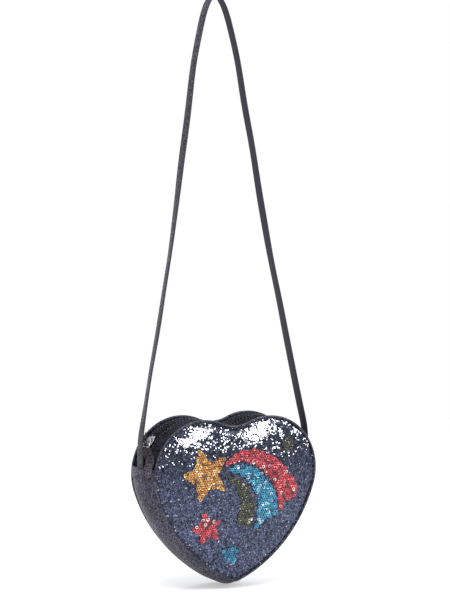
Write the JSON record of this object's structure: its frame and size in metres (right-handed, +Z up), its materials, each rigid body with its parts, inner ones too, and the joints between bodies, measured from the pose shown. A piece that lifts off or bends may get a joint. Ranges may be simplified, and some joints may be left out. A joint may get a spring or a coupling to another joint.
{
  "type": "crossbody bag",
  "caption": "Small heart-shaped crossbody bag in glitter vinyl with a zipped top, narrow shoulder strap and sequin stars and arcs on the front.",
  "frame": {"origin": "where a hook or hand carries the strap: the inner face of the strap at the top of its bend", "axes": "+Z is up along the hanging strap, -Y is the sequinned front of the bag, X runs across the two lobes with the slider on -X"},
  "size_m": [0.1839, 0.0513, 0.5383],
  "materials": {
    "strap_leatherette": "soft sheen, coarse glitter on the outer face",
    "panel_glitter": "chunky glitter vinyl",
    "gusset_glitter": "fine glitter vinyl",
    "foam": "soft matt foam",
    "lining": "matt woven cloth",
    "piping_leatherette": "smooth satin",
    "thread": "silvery thread",
    "zip_tape": "matt woven tape",
    "zip_coil": "moulded nylon coil",
    "nickel": "dark polished nickel",
    "gold_sequins": "overlapping cupped sequins",
    "red_sequins": "overlapping cupped sequins",
    "blue_sequins": "overlapping cupped sequins",
    "olive_sequins": "overlapping cupped sequins"
  },
  "bodies": {
    "carrying_strap": {"strap": "strap_leatherette"},
    "bag": {"strap_end_left": "strap_leatherette", "strap_end_right": "strap_leatherette", "front_panel": "panel_glitter", "back_panel": "panel_glitter", "lower_gusset": "gusset_glitter", "side_hem_left": "gusset_glitter", "side_hem_right": "gusset_glitter", "front_foam": "foam", "back_foam": "foam", "gusset_foam": "foam", "front_lining": "lining", "back_lining": "lining", "gusset_lining": "lining", "front_piping": "piping_leatherette", "back_piping": "piping_leatherette", "front_stitches": "thread", "back_stitches": "thread", "front_zip_strip": "piping_leatherette", "back_zip_strip": "piping_leatherette", "front_zip_tape": "zip_tape", "back_zip_tape": "zip_tape", "front_zip_teeth": "zip_coil", "back_zip_teeth": "zip_coil", "zip_end_stops": "nickel", "sequin_star": "gold_sequins", "sequin_red_arc": "red_sequins", "sequin_red_flower": "red_sequins", "sequin_blue_arc": "blue_sequins", "sequin_blue_flower": "blue_sequins", "sequin_olive_arc": "olive_sequins", "sequin_olive_flower": "olive_sequins"},
    "slider": {"zip_slider": "nickel"},
    "pull": {"zip_pull": "nickel"},
    "tab": {"pull_tab": "gusset_glitter"}
  },
  "joints": [
    {"name": "bag_swing", "type": "hinge", "parent": "carrying_strap", "child": "bag", "pos_m": [0.01, 0, -0.419], "axis": [1, 0, 0], "range_deg": [-60, 60]},
    {"name": "zip_travel", "type": "hinge", "parent": "bag", "child": "slider", "pos_m": [-0.0245, 0.006, -0.432], "axis": [0, 1, 0], "range_deg": [0, 66]},
    {"name": "pull_flip", "type": "hinge", "parent": "slider", "child": "pull", "pos_m": [-0.06464, 0.006, -0.3995], "axis": [0, 1, 0], "range_deg": [0, 150]},
    {"name": "tab_bend", "type": "hinge", "parent": "pull", "child": "tab", "pos_m": [-0.0685, 0.006, -0.40592], "axis": [0, 1, 0], "range_deg": [0, 60], "deforming": ["pull_tab"]}
  ]
}
